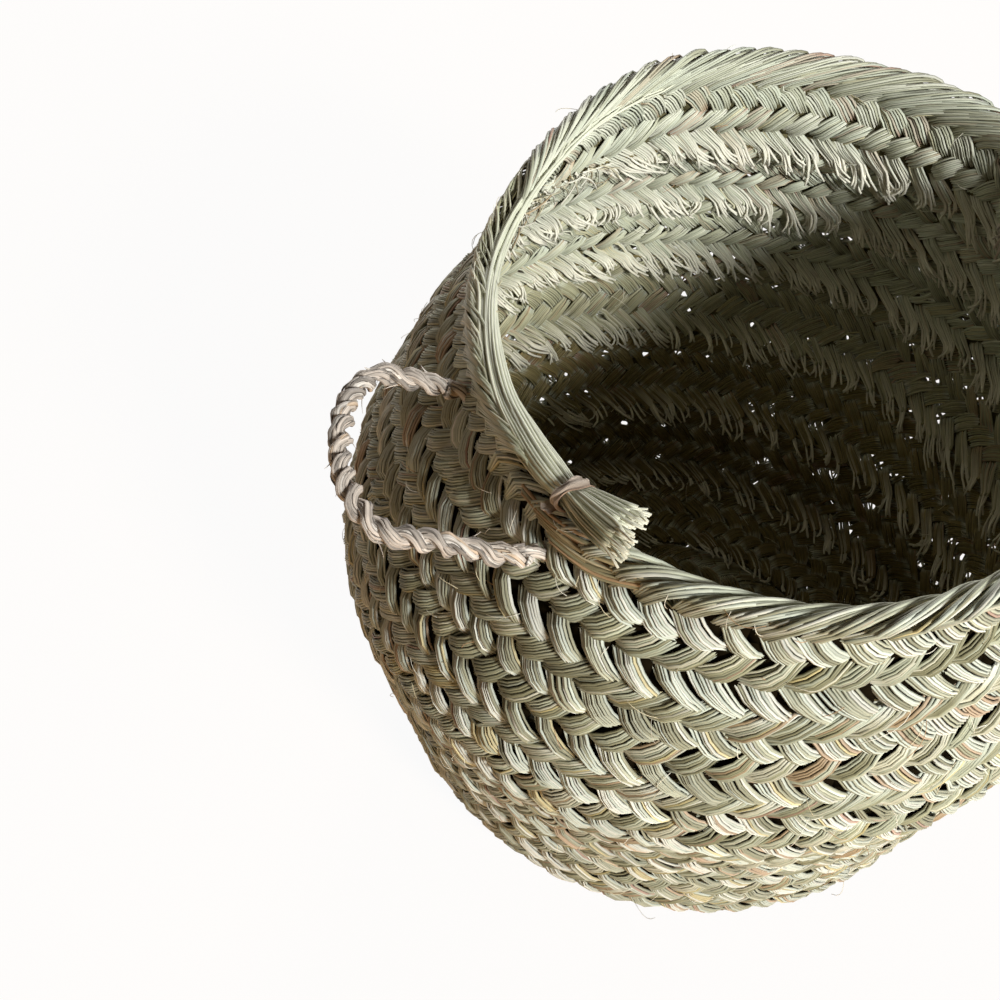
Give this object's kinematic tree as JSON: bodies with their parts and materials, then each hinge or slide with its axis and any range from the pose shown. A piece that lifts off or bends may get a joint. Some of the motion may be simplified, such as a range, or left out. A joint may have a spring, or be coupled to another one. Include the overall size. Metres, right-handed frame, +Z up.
{
  "type": "esparto basket",
  "caption": "Wide-bellied open basket coiled from one flat esparto plait, the turns sewn edge to edge, with a twisted rope loop handle on each side.",
  "frame": {"origin": "on the ground under the middle of the base, where the coil starts", "axes": "+Z up, the basket stands on its base; -Y is the front, with the tied end of the plait at the front left and a handle at each side"},
  "size_m": [0.3947, 0.3891, 0.3272],
  "materials": {
    "esparto_plait": "dry plaited grass stalks, olive to pale straw, matt with a faint waxy sheen",
    "sewing_cord": "thin twisted grass cord, matt",
    "palm_strip": "flat dried palm leaf strip, pinkish cream, satin",
    "palm_rope": "two-ply rope twisted from palm leaf strips, pinkish cream, satin"
  },
  "bodies": {
    "basket_body": {"base_heart": "esparto_plait", "base_turn_2": "esparto_plait", "heel_course": "esparto_plait", "wall_course_1": "esparto_plait", "wall_course_2": "esparto_plait", "wall_course_3": "esparto_plait", "wall_course_4": "esparto_plait", "wall_course_5": "esparto_plait", "rim_course": "esparto_plait", "sewing_cord_1": "sewing_cord", "sewing_cord_2": "sewing_cord", "sewing_cord_3": "sewing_cord", "sewing_cord_4": "sewing_cord", "sewing_cord_5": "sewing_cord", "sewing_cord_6": "sewing_cord", "sewing_cord_7": "sewing_cord", "sewing_cord_8": "sewing_cord", "tail_tie": "palm_strip", "handle_left_back_end": "palm_rope", "handle_left_front_end": "palm_rope", "handle_right_back_end": "palm_rope", "handle_right_front_end": "palm_rope"},
    "left_handle": {"handle_left": "palm_rope"},
    "right_handle": {"handle_right": "palm_rope"}
  },
  "joints": [
    {"name": "left_handle_swing", "type": "hinge", "parent": "basket_body", "child": "left_handle", "pos_m": [-0.11205, -0.10821, 0.27789], "axis": [-0.3686, 0.9258, 0.0839], "range_deg": [-65, 70]},
    {"name": "right_handle_swing", "type": "hinge", "parent": "basket_body", "child": "right_handle", "pos_m": [0.15353, 0.02265, 0.28585], "axis": [0.118, -0.991, 0.0634], "range_deg": [-65, 70]}
  ]
}
